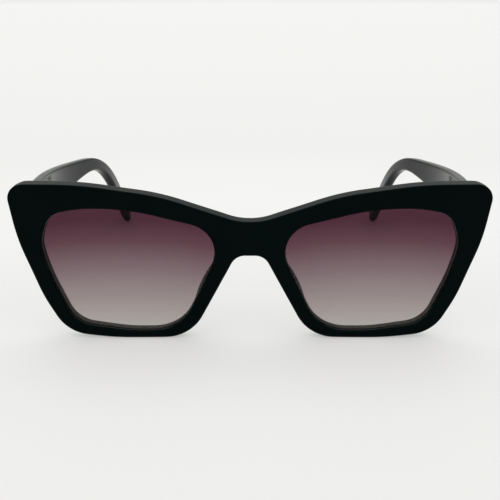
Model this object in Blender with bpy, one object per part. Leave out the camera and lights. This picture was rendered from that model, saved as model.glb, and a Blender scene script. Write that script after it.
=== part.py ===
"""Cat-eye sunglasses: an acetate front with two lenses, nose pads, five-barrel hinges and cored temples.

Frame of the part, in metres: +Z up, the front faces -Y, the origin is the middle of the footprint.
The glasses stand open on a table, on the lower edge of both rims and on both temple tips.
Left and right are the wearer's, so left is +X.

The front is drawn as a flat sheet in (u, w, v): u across, w from the front face backwards, v up.
It is then bent about its vertical direction and leant forwards, as a real acetate front is formed.
"""

import math

import bmesh
import bpy
from mathutils import Matrix, Vector

MM = 0.001

# Front: the sheet, how it is bent and how it stands.
FRONT_THICKNESS = 5.0 * MM
LEAN = math.radians(5.5)  # the top edge comes forward
EYE_CENTRE = 35.5 * MM
EYE_RADIUS = 265.0 * MM  # each eye bulges forward by this radius
BRIDGE_HALF = 10.0 * MM  # the bridge dips between the eyes within this half width
END_PIECE_FROM = 57.5 * MM  # the end pieces are flat beyond this
STRIP = 6.0 * MM  # width of the flat strips that follow the bend
EDGE_CHAMFER = 0.5 * MM
GROOVE_MIDDLE = 2.5 * MM
GROOVE_HALF = 1.25 * MM
GROOVE_FLOOR_HALF = 0.35 * MM
GROOVE_DEPTH = 1.0 * MM
FRONT_FACE_Y = -68.6 * MM  # where the front face meets the table

# Corners of the half outlines in millimetres, (u, v, fillet radius), from the middle outwards.
OUTLINE_CORNERS = (
    (0.0, 36.2, 19.8),
    (26.9, 46.3, 66.0),
    (50.6, 49.7, 95.0),
    (72.55, 49.3, 4.7),
    (69.8, 31.9, 70.0),
    (63.2, 13.4, 45.0),
    (56.5, 1.4, 12.0),
    (41.5, 0.0, 90.0),
    (18.3, 0.0, 12.8),
    (4.3, 26.6, 4.6),
)
OPENING_CORNERS = (
    (6.8, 34.1, 9.8),
    (36.5, 42.3, 66.0),
    (50.5, 42.2, 40.0),
    (60.0, 40.1, 7.0),
    (63.1, 31.2, 12.0),
    (61.0, 21.4, 60.0),
    (53.7, 4.7, 9.5),
    (36.9, 2.4, 50.0),
    (21.3, 2.4, 13.2),
)
ARC_STEP = math.radians(11.0)
PAST_FACE = 1.0 * MM  # how far the openings' cutters reach past both faces

# Lenses.
LENS_THICKNESS = 1.9 * MM
LENS_EDGE_HALF = 0.12 * MM
LENS_BEVEL = 0.75 * MM  # how far the bevel reaches into the groove
LENS_FACE_INSET = 0.12 * MM

# Nose pads: a leaning ridge glued to the back of each rim beside the nose.
PAD_TOP = (8.3 * MM, 24.8 * MM)
PAD_BOTTOM = (17.3 * MM, 5.4 * MM)
PAD_HEIGHT = 4.8 * MM
PAD_WIDTH = 4.2 * MM
PAD_LEAN = 0.35
PAD_GAP = 0.1 * MM
PAD_SECTIONS = 11
PAD_LEAST_SWELL = 0.12  # share of the full height left at both ends
PAD_END_SHARE = 0.06  # the swell's half wave is cut off by this share at both ends
PAD_NARROWEST = 0.45  # share of the full width where the ridge runs out
# One section of the ridge, as shares of its width and height.
PAD_PROFILE = (
    (-0.5, 0.0),
    (-0.46, 0.35),
    (-0.2, 0.75),
    (0.15, 1.0),
    (0.45, 0.92),
    (0.62, 0.5),
    (0.5, 0.0),
)

# Hinge: its axis stands parallel to the front, behind the end piece.
HINGE_U = 61.3 * MM
HINGE_V = 44.1 * MM
HINGE_BEHIND = 2.1 * MM  # from the back of the front to the axis
BARREL_RADIUS = 1.45 * MM
BARREL_HOLE = 0.78 * MM
BARREL_COUNT = 5
BARREL_LENGTH = 1.08 * MM
BARREL_PITCH = 1.2 * MM
LEAF_THICKNESS = 0.9 * MM
LEAF_SUNK = 0.1 * MM
LEAF_GAP = 0.12 * MM
FRONT_LEAF_U = (-1.6 * MM, 4.3 * MM)
FRONT_LEAF_HEIGHT = 6.0 * MM
TEMPLE_LEAF_ALONG = (-1.2 * MM, 8.6 * MM)
TEMPLE_LEAF_HEIGHT = 4.6 * MM
# A web joins each barrel to its leaf, between these two corners seen along the axis.
FRONT_WEB = ((-0.95 * MM, -2.6 * MM), (0.95 * MM, -0.3 * MM))
TEMPLE_WEB = ((0.3 * MM, -0.5 * MM), (2.6 * MM, 1.2 * MM))
WEB_INSET = 0.02 * MM  # a web is lower than its barrel by this at both ends
POCKET_OPEN = 0.5 * MM  # how far a leaf pocket's cutter reaches out of the surface
ROUND_SIDES = 20
SHARP_ANGLE = math.radians(32.0)
FLAT_ANGLE = math.radians(0.02)

# Screws.
PIN_RADIUS = 0.7 * MM
PIN_HEAD_RADIUS = 1.2 * MM
PIN_HEAD_HEIGHT = 0.6 * MM
PIN_HEAD_GAP = 0.06 * MM
PIN_SHORT = 0.05 * MM  # the pin ends this far inside the lowest barrel
PIN_POINT = 0.3 * MM
PIN_POINT_SHARE = 0.7
HEAD_EDGE_SHARE = 0.6  # the head's side stands straight to this share of its height
HEAD_TOP_SHARE = 0.75
SCREW_RADIUS = 0.45 * MM
SCREW_HEAD_RADIUS = 0.85 * MM
SCREW_HEAD_HEIGHT = 0.4 * MM
SCREW_LENGTH = 2.3 * MM
SCREW_POINT = 0.3 * MM
SCREW_POINT_SHARE = 0.4
SCREW_GAP = 0.08 * MM
SLOT_WIDTH = 0.25 * MM
SLOT_DEPTH = 0.22 * MM
SLOT_ABOVE = 1.0 * MM  # how far the slot's cutter reaches above the head
SCREW_SIDES = 12
FRONT_SCREWS = ((2.9 * MM, 1.8 * MM), (2.9 * MM, -1.8 * MM))
TEMPLE_SCREWS = (3.4 * MM, 6.9 * MM)

# Temples: the top edge is the datum, and the bar hangs below it.
TEMPLE_SLOPE = math.radians(6.4)  # falls towards the back
TEMPLE_LENGTH = 153.0 * MM
TEMPLE_INNER_OFFSET = 2.2 * MM  # from the hinge axis to the inner face
TEMPLE_BUTT_GAP = 0.3 * MM
TEMPLE_STATION = 5.0 * MM
TEMPLE_START = -3.0 * MM  # the bar starts ahead of the front, and its end is then mitred
TEMPLE_EDGE = 0.7 * MM
TEMPLE_TOP = 3.5 * MM  # the top edge at the front end, above the hinge's middle
BUTT_HEIGHT = 12.0 * MM
WAIST_HEIGHT = 4.5 * MM
PADDLE_HEIGHT = 6.5 * MM
NARROWS_FROM = 30.0 * MM
WAIST_AT = 96.0 * MM
PADDLE_AT = 126.0 * MM
BUTT_THICKNESS = 3.6 * MM
TIP_THICKNESS = 3.4 * MM
DROP_FROM = 80.0 * MM
DROP_TO = 125.0 * MM
DROP_ANGLE = math.radians(34.0)
SPLAY = math.radians(5.3)  # the temple leaves the hinge outwards, then bows towards the head
CURVE_FROM = 10.0 * MM
CURVE_TO = 79.0 * MM
CURVE_ANGLE = math.radians(15.8)
TIP_SPLAY = math.radians(6.3)  # the drop turns back outwards by this much
TIP_ROUND = 3.2 * MM
TIP_LEAST = 0.25  # share of the section left at the very end
TIP_STATIONS = (0.35, 0.65, 0.88, 1.0)  # shares of the way along the rounded end
PATH_STEP = 0.5 * MM

# Core wires.
WIRE_HEIGHT = 2.0 * MM
WIRE_THICKNESS = 1.0 * MM
WIRE_CORNER = 0.3 * MM
WIRE_GAP = 0.15 * MM
WIRE_END_GAP = 0.3 * MM
WIRE_FROM = 1.5 * MM
WIRE_TO = 144.0 * MM
WIRE_OUTWARD = 0.35 * MM  # keeps clear of the hinge leaf
WIRE_CENTRED = (10.0 * MM, 30.0 * MM)  # it moves to the temple's middle between these
CHANNEL_START = -6.0 * MM

SIDES = (("left", 1), ("right", -1))

ACETATE = ("black_acetate", (0.012, 0.013, 0.014), 0.12, 0.0)
LENS = ("tinted_lens", (0.22, 0.12, 0.15), 0.05, 0.0)
STEEL = ("hinge_steel", (0.62, 0.61, 0.58), 0.28, 1.0)
WIRE = ("core_wire_steel", (0.50, 0.50, 0.50), 0.35, 1.0)


def clear_scene():
    for old in list(bpy.data.objects):
        bpy.data.objects.remove(old)


def material(spec):
    name, colour, roughness, metallic = spec
    made = bpy.data.materials.get(name) or bpy.data.materials.new(name)
    made.use_nodes = True
    shader = made.node_tree.nodes["Principled BSDF"]
    shader.inputs["Base Color"].default_value = (*colour, 1.0)
    shader.inputs["Roughness"].default_value = roughness
    shader.inputs["Metallic"].default_value = metallic
    return made


def new_object(name, bm, spec=None):
    bmesh.ops.recalc_face_normals(bm, faces=bm.faces)
    mesh = bpy.data.meshes.new(name)
    bm.to_mesh(mesh)
    bm.free()
    if spec:
        mesh.materials.append(material(spec))
    made = bpy.data.objects.new(name, mesh)
    bpy.context.scene.collection.objects.link(made)
    return made


def combine(target, operation, others):
    """Applies Booleans of the other objects to the target, and removes those objects."""
    for other in others:
        modifier = target.modifiers.new(operation.lower(), "BOOLEAN")
        modifier.operation = operation
        modifier.solver = "EXACT"
        modifier.object = other
    graph = bpy.context.evaluated_depsgraph_get()
    mesh = bpy.data.meshes.new_from_object(target.evaluated_get(graph))
    target.modifiers.clear()
    target.data = mesh
    for other in others:
        bpy.data.objects.remove(other)
    return target


def move_points(made, move):
    """Moves every vertex by a function, and turns the faces round if that mirrors them."""
    for vertex in made.data.vertices:
        vertex.co = move(vertex.co.copy())
    bm = bmesh.new()
    bm.from_mesh(made.data)
    bmesh.ops.recalc_face_normals(bm, faces=bm.faces)
    bm.to_mesh(made.data)
    bm.free()
    return made


# ---------------------------------------------------------------- outlines


def filleted(corners):
    """A closed outline as (point, outward normal) pairs, from corners with fillet radii, clockwise."""
    points = [Vector((u, v)) for u, v, _ in corners]
    outline = []
    for i, (_, _, radius) in enumerate(corners):
        corner = points[i]
        before = (corner - points[i - 1]).normalized()
        after = (points[(i + 1) % len(points)] - corner).normalized()
        turn = before.angle_signed(after)
        half = turn / 2
        start = corner - before * (radius * math.tan(abs(half)))
        side = Vector((before.y, -before.x)) * (1 if turn > 0 else -1)
        centre = start + side * radius
        steps = max(1, math.ceil(abs(turn) / ARC_STEP))
        for k in range(steps + 1):
            arm = (start - centre).normalized()
            angle = -turn * k / steps
            arm = Vector(
                (
                    arm.x * math.cos(angle) - arm.y * math.sin(angle),
                    arm.x * math.sin(angle) + arm.y * math.cos(angle),
                )
            )
            outward = arm if turn > 0 else -arm
            outline.append((centre + arm * radius, outward))
    return outline


def mirrored_corners(half):
    """The whole outline's corners from the half that starts on the middle line."""
    scaled = [(u * MM, v * MM, r * MM) for u, v, r in half]
    return scaled + [(-u, v, r) for u, v, r in reversed(scaled) if u > 0]


def front_outline():
    return filleted(mirrored_corners(OUTLINE_CORNERS))


def opening_outline(side):
    scaled = [(u * MM * side, v * MM, r * MM) for u, v, r in OPENING_CORNERS]
    return filleted(scaled if side > 0 else list(reversed(scaled)))


def wall_solid(outline, levels):
    """A solid in (u, w, v) whose edge passes through the outline offset at (offset, w) levels."""
    bm = bmesh.new()
    rings = []
    for offset, depth in levels:
        ring = [point + normal * offset for point, normal in outline]
        rings.append([bm.verts.new((spot.x, depth, spot.y)) for spot in ring])
    count = len(outline)
    for upper, lower in zip(rings, rings[1:]):
        for i in range(count):
            j = (i + 1) % count
            bm.faces.new((upper[i], upper[j], lower[j], lower[i]))
    caps = [bm.faces.new(rings[0]), bm.faces.new(rings[-1])]
    bmesh.ops.triangulate(bm, faces=caps)
    return bm


# ---------------------------------------------------------------- the bent front


def strip_edges():
    """Where the flat strips of one half meet, from the middle to past the end piece."""
    edges = [0.0, BRIDGE_HALF / 2, BRIDGE_HALF]
    count = round((END_PIECE_FROM - BRIDGE_HALF) / STRIP)
    edges += [BRIDGE_HALF + (END_PIECE_FROM - BRIDGE_HALF) * k / count for k in range(1, count + 1)]
    return edges


def true_sag(u):
    """How far the sheet lies behind the front of the eyes, and its slope there."""
    if u < BRIDGE_HALF:
        slope_at_edge = (BRIDGE_HALF - EYE_CENTRE) / EYE_RADIUS
        at_edge = (BRIDGE_HALF - EYE_CENTRE) ** 2 / (2 * EYE_RADIUS)
        depth = at_edge - slope_at_edge * (BRIDGE_HALF**2 - u**2) / (2 * BRIDGE_HALF)
        return depth, slope_at_edge * u / BRIDGE_HALF
    return (u - EYE_CENTRE) ** 2 / (2 * EYE_RADIUS), (u - EYE_CENTRE) / EYE_RADIUS


def sag(u):
    """The sag and slope of the strip that holds u: each strip of the face is flat."""
    u = abs(u)
    edges = strip_edges()
    if u >= END_PIECE_FROM:
        depth, slope = true_sag(END_PIECE_FROM)
        return depth + slope * (u - END_PIECE_FROM), slope
    upper = next(k for k, edge in enumerate(edges) if edge > u)
    share = (u - edges[upper - 1]) / (edges[upper] - edges[upper - 1])
    low, high = true_sag(edges[upper - 1]), true_sag(edges[upper])
    return tuple(low[k] + (high[k] - low[k]) * share for k in range(2))


UP_THE_FRONT = Vector((0, -math.sin(LEAN), math.cos(LEAN)))
BACK_FROM_FRONT = Vector((0, math.cos(LEAN), math.sin(LEAN)))
FRONT_ORIGIN = Vector((0, FRONT_FACE_Y, -EDGE_CHAMFER * math.sin(LEAN)))


def on_front(flat):
    """Takes a point (u, w, v) of the flat sheet to its place in the bent, leaning front."""
    u, w, v = flat
    depth, slope = sag(u)
    tilt = math.atan(slope)
    across = u - math.copysign(w * math.sin(tilt), u)
    back = depth + w * math.cos(tilt)
    return FRONT_ORIGIN + Vector((across, 0, 0)) + UP_THE_FRONT * v + BACK_FROM_FRONT * back


def bent(made):
    """Cuts a flat plate into strips, so that it can follow the bend, and places it in the front."""
    bm = bmesh.new()
    bm.from_mesh(made.data)
    bmesh.ops.triangulate(bm, faces=bm.faces[:])
    low = min(vertex.co.x for vertex in bm.verts)
    high = max(vertex.co.x for vertex in bm.verts)
    cuts = set(strip_edges()) | {-edge for edge in strip_edges()}
    for cut in sorted(cuts):
        if low < cut < high:
            everything = bm.verts[:] + bm.edges[:] + bm.faces[:]
            bmesh.ops.bisect_plane(bm, geom=everything, plane_co=(cut, 0, 0), plane_no=(1, 0, 0))
    bm.to_mesh(made.data)
    bm.free()
    move_points(made, on_front)
    bm = bmesh.new()
    bm.from_mesh(made.data)
    bmesh.ops.dissolve_limit(
        bm,
        angle_limit=FLAT_ANGLE,
        verts=bm.verts[:],
        edges=bm.edges[:],
        use_dissolve_boundaries=False,
    )
    bmesh.ops.triangulate(bm, faces=bm.faces[:])
    bm.to_mesh(made.data)
    bm.free()
    return made


# ---------------------------------------------------------------- simple solids


def box(name, low, high, spec=None):
    bm = bmesh.new()
    bmesh.ops.create_cube(bm, size=1.0)
    low, high = Vector(low), Vector(high)
    for vertex in bm.verts:
        vertex.co = Vector(
            ((low[k] + high[k]) / 2 + vertex.co[k] * (high[k] - low[k]) for k in range(3))
        )
    return new_object(name, bm, spec)


def turned(name, profile, sides, spec=None):
    """A body of revolution about Z, from (radius, height) points, with flat ends."""
    bm = bmesh.new()
    rings = []
    spin = [2 * math.pi * (k + 0.5) / sides for k in range(sides)]
    for radius, height in profile:
        spots = [(radius * math.cos(angle), radius * math.sin(angle), height) for angle in spin]
        rings.append([bm.verts.new(spot) for spot in spots])
    bm.faces.new(rings[0])
    bm.faces.new(rings[-1])
    for lower, upper in zip(rings, rings[1:]):
        for i in range(sides):
            j = (i + 1) % sides
            bm.faces.new((lower[i], lower[j], upper[j], upper[i]))
    return new_object(name, bm, spec)


def slotted(screw, head_radius, top):
    low = (-2 * head_radius, -SLOT_WIDTH / 2, top - SLOT_DEPTH)
    high = (2 * head_radius, SLOT_WIDTH / 2, top + SLOT_ABOVE)
    slot = box("slot", low, high)
    return combine(screw, "DIFFERENCE", [slot])


def plate_screw(name, grow=0.0):
    """A countersunk screw with its head's top at the origin, pointing down -Z. A grown one is its hole."""
    profile = [
        (SCREW_HEAD_RADIUS + grow, 0.0),
        (SCREW_RADIUS + grow, -SCREW_HEAD_HEIGHT - grow),
        (SCREW_RADIUS + grow, -SCREW_LENGTH + SCREW_POINT - grow),
        (SCREW_RADIUS * SCREW_POINT_SHARE + grow, -SCREW_LENGTH - grow),
    ]
    if grow:
        mouth = (SCREW_HEAD_RADIUS + grow, POCKET_OPEN)
        return turned(name, [mouth, *profile], SCREW_SIDES)
    return slotted(turned(name, profile, SCREW_SIDES, STEEL), SCREW_HEAD_RADIUS, 0.0)


def placed(made, matrix):
    """Moves the mesh itself by the matrix."""
    made.data.transform(matrix)
    if matrix.determinant() < 0:
        made.data.flip_normals()
    return made


# ---------------------------------------------------------------- front, lenses and pads


def opening_levels():
    """The opening's wall, with its groove, carried past both faces as a cutter."""
    thick, groove = FRONT_THICKNESS, GROOVE_MIDDLE
    return (
        (EDGE_CHAMFER + PAST_FACE, -PAST_FACE),
        (0.0, EDGE_CHAMFER),
        (0.0, groove - GROOVE_HALF),
        (GROOVE_DEPTH, groove - GROOVE_FLOOR_HALF),
        (GROOVE_DEPTH, groove + GROOVE_FLOOR_HALF),
        (0.0, groove + GROOVE_HALF),
        (0.0, thick - EDGE_CHAMFER),
        (EDGE_CHAMFER + PAST_FACE, thick + PAST_FACE),
    )


def hinge_on_sheet(side):
    """The hinge axis's middle in the flat sheet."""
    return Vector((HINGE_U * side, FRONT_THICKNESS + HINGE_BEHIND, HINGE_V))


def front_leaf_box(name, side, grow=0.0, spec=None):
    """The plate in the back of the front. A grown one is its pocket, and reaches out of the back."""
    middle = hinge_on_sheet(side)
    first = (FRONT_LEAF_U[0] - grow) * side
    last = (FRONT_LEAF_U[1] + grow) * side
    top = FRONT_THICKNESS - LEAF_SUNK
    half = FRONT_LEAF_HEIGHT / 2 + grow
    mouth = top + POCKET_OPEN if grow else top
    low = (middle.x + min(first, last), top - LEAF_THICKNESS - grow, middle.z - half)
    high = (middle.x + max(first, last), mouth, middle.z + half)
    return box(name, low, high, spec)


def front_screw_matrix(side, place):
    """A plate screw's head on the front leaf, pointing into the front."""
    middle = hinge_on_sheet(side)
    at = Vector((middle.x + place[0] * side, FRONT_THICKNESS - LEAF_SUNK, middle.z + place[1]))
    return Matrix.Translation(at) @ Matrix.Rotation(-math.pi / 2, 4, "X")


def frame_front():
    edge = (
        (-EDGE_CHAMFER, 0.0),
        (0.0, EDGE_CHAMFER),
        (0.0, FRONT_THICKNESS - EDGE_CHAMFER),
        (-EDGE_CHAMFER, FRONT_THICKNESS),
    )
    front = new_object("frame_front", wall_solid(front_outline(), edge), ACETATE)
    cutters = []
    for _, side in SIDES:
        wall = wall_solid(opening_outline(side), opening_levels())
        cutters.append(new_object("opening", wall))
        cutters.append(front_leaf_box("leaf_pocket", side, LEAF_GAP))
        for place in FRONT_SCREWS:
            hole = plate_screw("screw_hole", SCREW_GAP)
            cutters.append(placed(hole, front_screw_matrix(side, place)))
    return bent(combine(front, "DIFFERENCE", cutters))


def lens(name, side):
    middle, half = GROOVE_MIDDLE, LENS_THICKNESS / 2
    levels = (
        (-LENS_FACE_INSET, middle - half),
        (LENS_BEVEL, middle - LENS_EDGE_HALF),
        (LENS_BEVEL, middle + LENS_EDGE_HALF),
        (-LENS_FACE_INSET, middle + half),
    )
    return bent(new_object(name, wall_solid(opening_outline(side), levels), LENS))


def nose_pad(name, side):
    """A ridge along the rim: each section leans away from the nose, and both ends run out to nothing."""
    bm = bmesh.new()
    top, bottom = Vector(PAD_TOP), Vector(PAD_BOTTOM)
    along = (bottom - top).normalized()
    outward = Vector((-along.y, along.x))
    if outward.x < 0:
        outward = -outward
    base = FRONT_THICKNESS + PAD_GAP
    rings = []
    for k in range(PAD_SECTIONS):
        share = k / (PAD_SECTIONS - 1)
        wave = math.sin(math.pi * (PAD_END_SHARE + (1 - 2 * PAD_END_SHARE) * share))
        swell = max(PAD_LEAST_SWELL, math.sqrt(wave))
        width = PAD_WIDTH * (PAD_NARROWEST + (1 - PAD_NARROWEST) * swell)
        centre = top.lerp(bottom, share)
        ring = []
        for across, height in PAD_PROFILE:
            rise = height * PAD_HEIGHT * swell
            spot = centre + outward * (across * width + PAD_LEAN * rise)
            ring.append(bm.verts.new((spot.x * side, base + rise, spot.y)))
        rings.append(ring)
    for first, second in zip(rings, rings[1:]):
        for i in range(len(first)):
            j = (i + 1) % len(first)
            bm.faces.new((first[i], first[j], second[j], second[i]))
    bm.faces.new(rings[0])
    bm.faces.new(rings[-1])
    return move_points(new_object(name, bm, ACETATE), on_front)


# ---------------------------------------------------------------- hinges


def barrel(number, web, hinge_to_part):
    """One knuckle about Z with the web that joins it to its leaf."""
    middle = (number - (BARREL_COUNT - 1) / 2) * BARREL_PITCH
    low = middle - BARREL_LENGTH / 2
    high = middle + BARREL_LENGTH / 2
    knuckle = turned("knuckle", ((BARREL_RADIUS, low), (BARREL_RADIUS, high)), ROUND_SIDES)
    web = box("web", (*web[0], low + WEB_INSET), (*web[1], high - WEB_INSET))
    return [placed(knuckle, hinge_to_part), placed(web, hinge_to_part)]


def pin_bore(hinge_to_part):
    reach = BARREL_COUNT * BARREL_PITCH
    bore = turned("bore", ((BARREL_HOLE, -reach), (BARREL_HOLE, reach)), ROUND_SIDES)
    return placed(bore, hinge_to_part)


def on_sheet_matrix(side):
    """Hinge axes (across outwards, back, up) in the flat sheet."""
    return Matrix.Translation(hinge_on_sheet(side)) @ Matrix.Diagonal((side, 1, 1, 1))


def front_leaf(name, side):
    to_sheet = on_sheet_matrix(side)
    parts = []
    for number in range(0, BARREL_COUNT, 2):
        parts += barrel(number, FRONT_WEB, to_sheet)
    leaf = combine(front_leaf_box(name, side, spec=STEEL), "UNION", parts)
    holes = [pin_bore(to_sheet)]
    for place in FRONT_SCREWS:
        holes.append(placed(plate_screw("hole", SCREW_GAP), front_screw_matrix(side, place)))
    return move_points(combine(leaf, "DIFFERENCE", holes), on_front)


def hinge_matrix(side):
    """Hinge axes in the part: X outwards, Y back from the front, Z up the front."""
    centre = on_front(hinge_on_sheet(side))
    axes = Matrix((Vector((side, 0, 0)), BACK_FROM_FRONT, UP_THE_FRONT)).transposed()
    return Matrix.Translation(centre) @ axes.to_4x4()


def leaf_matrix():
    """The temple leaf lies along the temple, which falls and splays from the front's square direction."""
    return Matrix.Rotation(-(TEMPLE_SLOPE + LEAN), 4, "X") @ Matrix.Rotation(-SPLAY, 4, "Z")


def temple_leaf_box(name, grow=0.0, spec=None):
    """The plate in the temple's inner face. A grown one is its pocket, and reaches out of the face."""
    inner = TEMPLE_INNER_OFFSET + LEAF_SUNK / 2
    mouth = inner - POCKET_OPEN if grow else inner
    half = TEMPLE_LEAF_HEIGHT / 2 + grow
    low = (mouth, TEMPLE_LEAF_ALONG[0] - grow, -half)
    high = (inner + LEAF_THICKNESS + grow, TEMPLE_LEAF_ALONG[1] + grow, half)
    return placed(box(name, low, high, spec), leaf_matrix())


def temple_screw_matrix(place):
    at = Vector((TEMPLE_INNER_OFFSET + LEAF_SUNK / 2, place, 0))
    return leaf_matrix() @ Matrix.Translation(at) @ Matrix.Rotation(-math.pi / 2, 4, "Y")


def temple_leaf(name, side):
    parts = []
    for number in range(1, BARREL_COUNT, 2):
        parts += barrel(number, TEMPLE_WEB, Matrix())
    leaf = combine(temple_leaf_box(name, spec=STEEL), "UNION", parts)
    holes = [pin_bore(Matrix())]
    for place in TEMPLE_SCREWS:
        holes.append(placed(plate_screw("hole", SCREW_GAP), temple_screw_matrix(place)))
    leaf = combine(leaf, "DIFFERENCE", holes)
    to_part = hinge_matrix(side)
    return move_points(leaf, lambda point: to_part @ point)


def hinge_pin(name, side):
    """The screw that the barrels turn on: its head rests above the top barrel."""
    stack = (BARREL_COUNT - 1) / 2 * BARREL_PITCH + BARREL_LENGTH / 2
    head = stack + PIN_HEAD_GAP
    top = head + PIN_HEAD_HEIGHT
    profile = (
        (PIN_RADIUS * PIN_POINT_SHARE, -stack + PIN_SHORT),
        (PIN_RADIUS, -stack + PIN_POINT),
        (PIN_RADIUS, head),
        (PIN_HEAD_RADIUS, head),
        (PIN_HEAD_RADIUS, head + PIN_HEAD_HEIGHT * HEAD_EDGE_SHARE),
        (PIN_HEAD_RADIUS * HEAD_TOP_SHARE, top),
    )
    pin = slotted(turned(name, profile, ROUND_SIDES, STEEL), PIN_HEAD_RADIUS, top)
    to_part = hinge_matrix(side)
    return move_points(pin, lambda point: to_part @ point)


# ---------------------------------------------------------------- temples


def smooth(value, low, high):
    share = min(1.0, max(0.0, (value - low) / (high - low)))
    return share * share * (3 - 2 * share)


def ramp(value, low, high):
    return min(1.0, max(0.0, (value - low) / (high - low)))


def temple_height(at):
    taper = BUTT_HEIGHT + (WAIST_HEIGHT - BUTT_HEIGHT) * smooth(at, NARROWS_FROM, WAIST_AT)
    return taper + (PADDLE_HEIGHT - WAIST_HEIGHT) * smooth(at, WAIST_AT, PADDLE_AT)


def temple_thickness(at):
    return BUTT_THICKNESS + (TIP_THICKNESS - BUTT_THICKNESS) * ramp(at, 0.0, TEMPLE_LENGTH)


def temple_datum(stations):
    """For each distance along the top edge: (across, back, up, downward angle), from the hinge axis."""
    across = TEMPLE_INNER_OFFSET + BUTT_THICKNESS / 2
    at = stations[0]
    back = at - HINGE_BEHIND
    up = TEMPLE_TOP
    made = []
    for station in stations:
        while at < station - MM / 1000:
            step = min(PATH_STEP, station - at)
            middle = at + step / 2
            down = DROP_ANGLE * ramp(middle, DROP_FROM, DROP_TO)
            inward = CURVE_ANGLE * smooth(middle, CURVE_FROM, CURVE_TO)
            inward -= TIP_SPLAY * smooth(middle, DROP_FROM, DROP_TO)
            across -= step * math.sin(inward)
            back += step * math.cos(inward) * math.cos(down)
            up -= step * math.sin(down)
            at += step
        made.append((across, back, up, DROP_ANGLE * ramp(station, DROP_FROM, DROP_TO)))
    return made


def bar(name, stations, section, spec=None):
    """Lofts a section along the temple. section(at) gives (across, drop below the top edge) points."""
    bm = bmesh.new()
    rings = []
    for at, (across, back, up, down) in zip(stations, temple_datum(stations)):
        ring = []
        for out, below in section(at):
            spot = (across + out, back - below * math.sin(down), up - below * math.cos(down))
            ring.append(bm.verts.new(spot))
        rings.append(ring)
    count = len(rings[0])
    for first, second in zip(rings, rings[1:]):
        for i in range(count):
            j = (i + 1) % count
            bm.faces.new((first[i], first[j], second[j], second[i]))
    bm.faces.new(rings[0])
    bm.faces.new(rings[-1])
    made = new_object(name, bm, spec)
    return placed(made, leaf_matrix())


def chamfered(middle, half_width, half_height, corner):
    """The eight points of a rectangle with its corners cut off."""
    points = []
    for k, (x, y) in enumerate(((1, -1), (1, 1), (-1, 1), (-1, -1))):
        first = (middle[0] + x * (half_width - corner), middle[1] + y * half_height)
        second = (middle[0] + x * half_width, middle[1] + y * (half_height - corner))
        points += [first, second] if k % 2 == 0 else [second, first]
    return points


def temple_section(at):
    """A rectangle with chamfered edges that shrinks to a rounded end at the tip."""
    height, thick = temple_height(at), temple_thickness(at)
    into_end = 1 - ramp(TEMPLE_LENGTH - at, 0.0, TIP_ROUND)
    shrink = TIP_LEAST + (1 - TIP_LEAST) * math.sqrt(1 - into_end**2)
    middle = (0.0, height / 2)
    return chamfered(middle, thick / 2 * shrink, height / 2 * shrink, TEMPLE_EDGE * shrink)


def wire_section(grow):
    """The wire's section along the temple. A grown one is its channel's."""

    def section(at):
        outward = WIRE_OUTWARD * (1 - smooth(at, *WIRE_CENTRED))
        middle = (outward, temple_height(at) / 2)
        return chamfered(middle, WIRE_THICKNESS / 2 + grow, WIRE_HEIGHT / 2 + grow, WIRE_CORNER)

    return section


def stations_between(first, last, step):
    count = max(2, round((last - first) / step))
    return [first + (last - first) * k / count for k in range(count + 1)]


def butt_at_front(made, side):
    """Mitres the temple's front end parallel to the back of the front."""
    back_point = on_front(Vector((HINGE_U * side, FRONT_THICKNESS, HINGE_V)))
    far_point = on_front(Vector(((HINGE_U + MM) * side, FRONT_THICKNESS, HINGE_V)))
    across = (far_point - back_point).normalized()
    normal = across.cross(UP_THE_FRONT) * side
    if normal.y < 0:
        normal = -normal
    start = back_point + normal * TEMPLE_BUTT_GAP
    bm = bmesh.new()
    bm.from_mesh(made.data)
    everything = bm.verts[:] + bm.edges[:] + bm.faces[:]
    bmesh.ops.bisect_plane(bm, geom=everything, plane_co=start, plane_no=normal, clear_inner=True)
    open_edges = [edge for edge in bm.edges if edge.is_boundary]
    bmesh.ops.triangle_fill(bm, edges=open_edges, use_beauty=True)
    bmesh.ops.recalc_face_normals(bm, faces=bm.faces)
    bm.to_mesh(made.data)
    bm.free()
    return made


def temple(name, side):
    end_from = TEMPLE_LENGTH - TIP_ROUND
    stations = [TEMPLE_START, *stations_between(CURVE_FROM, end_from, TEMPLE_STATION)]
    stations += [end_from + TIP_ROUND * share for share in TIP_STATIONS]
    made = bar(name, stations, temple_section, ACETATE)
    channel_stations = stations_between(CHANNEL_START, WIRE_TO + WIRE_END_GAP, TEMPLE_STATION)
    cutters = [
        bar("channel", channel_stations, wire_section(WIRE_GAP)),
        temple_leaf_box("leaf_pocket", LEAF_GAP),
    ]
    for place in TEMPLE_SCREWS:
        cutters.append(placed(plate_screw("hole", SCREW_GAP), temple_screw_matrix(place)))
    made = combine(made, "DIFFERENCE", cutters)
    to_part = hinge_matrix(side)
    made = move_points(made, lambda point: to_part @ point)
    return butt_at_front(made, side)


def core_wire(name, side):
    stations = stations_between(WIRE_FROM, WIRE_TO, TEMPLE_STATION)
    wire = bar(name, stations, wire_section(0.0), WIRE)
    to_part = hinge_matrix(side)
    return move_points(wire, lambda point: to_part @ point)


def leaf_screws(word, side):
    for label, place in zip(("upper", "lower"), FRONT_SCREWS):
        screw = plate_screw(f"front_leaf_screw_{word}_{label}")
        move_points(placed(screw, front_screw_matrix(side, place)), on_front)
    to_part = hinge_matrix(side)
    for label, place in zip(("fore", "aft"), TEMPLE_SCREWS):
        screw = plate_screw(f"temple_leaf_screw_{word}_{label}")
        move_points(placed(screw, temple_screw_matrix(place)), lambda point: to_part @ point)


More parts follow.
